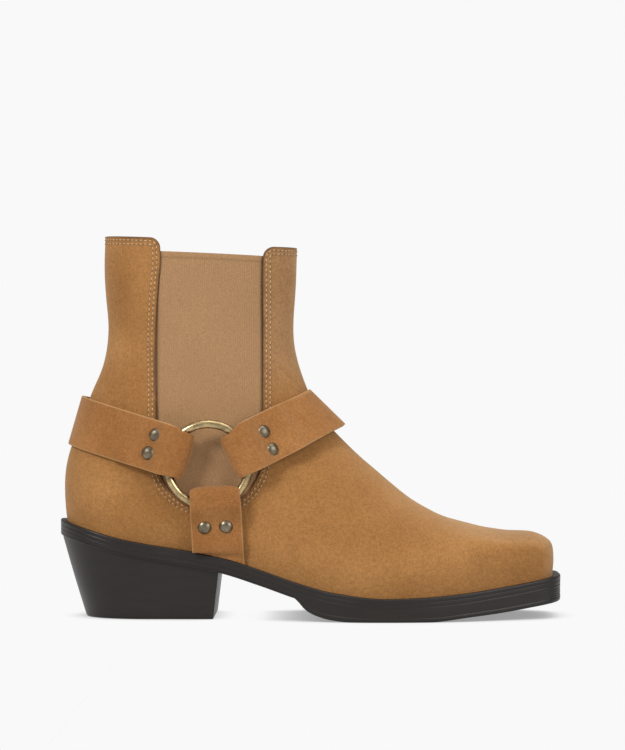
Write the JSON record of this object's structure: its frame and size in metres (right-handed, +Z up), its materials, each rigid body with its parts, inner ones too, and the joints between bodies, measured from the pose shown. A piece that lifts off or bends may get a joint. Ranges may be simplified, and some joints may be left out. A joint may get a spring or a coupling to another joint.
{
  "type": "harness boot",
  "caption": "Hollow ankle boot for the right foot: suede upper with elastic side gores, a strap harness riveted round brass rings, and a stacked sole with a low block heel.",
  "frame": {"origin": "on the floor, at the centre of the heel's base", "axes": "+X from the heel to the toe, +Y to the inner side of the foot, +Z up"},
  "size_m": [0.279, 0.1004, 0.2115],
  "materials": {
    "suede": "golden-tan suede with a short nap, matte",
    "elastic": "fine-ribbed elastic webbing, matte",
    "sole": "black, polished edge, semi-gloss",
    "lining": "smooth tan lining leather, matte",
    "brass": "antique brass, dark and worn bright"
  },
  "bodies": {
    "root": {"welt": "sole", "midsole": "sole", "outsole": "sole", "heel": "sole", "insole": "lining", "upper": "suede", "gore_lateral": "elastic", "gore_medial": "elastic", "strap_rear": "suede", "strap_instep": "suede", "strap_down_lateral": "suede", "strap_down_medial": "suede", "ring_lateral": "brass", "ring_medial": "brass", "rivet_rear_lateral_1": "brass", "rivet_rear_lateral_2": "brass", "rivet_rear_medial_1": "brass", "rivet_rear_medial_2": "brass", "rivet_instep_lateral_1": "brass", "rivet_instep_lateral_2": "brass", "rivet_instep_medial_1": "brass", "rivet_instep_medial_2": "brass", "rivet_down_lateral_1": "brass", "rivet_down_lateral_2": "brass", "rivet_down_medial_1": "brass", "rivet_down_medial_2": "brass"}
  },
  "joints": []
}
